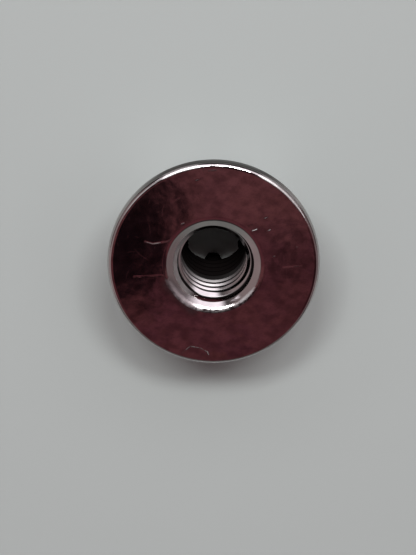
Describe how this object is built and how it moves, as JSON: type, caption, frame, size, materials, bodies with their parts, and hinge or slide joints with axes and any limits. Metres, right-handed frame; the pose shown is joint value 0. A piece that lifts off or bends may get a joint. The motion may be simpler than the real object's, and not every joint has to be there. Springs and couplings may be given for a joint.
{
  "type": "flanged castle nut",
  "caption": "Castle nut with a wide round flange: countersunk threaded bore, hexagon for a spanner behind the flange, and a round crown slotted for a split pin.",
  "frame": {"origin": "middle of the crown's end, on the bore axis, where the nut stands", "axes": "+Z along the bore, from the crown to the flange; +Y through a corner of the hexagon; +X through the middle of a flat and along a slot"},
  "size_m": [0.021, 0.021, 0.0148],
  "materials": {
    "nickel_plate": "bright nickel plate over steel, polished, with fine scratches"
  },
  "bodies": {
    "root": {"castle_nut": "nickel_plate"}
  },
  "joints": []
}
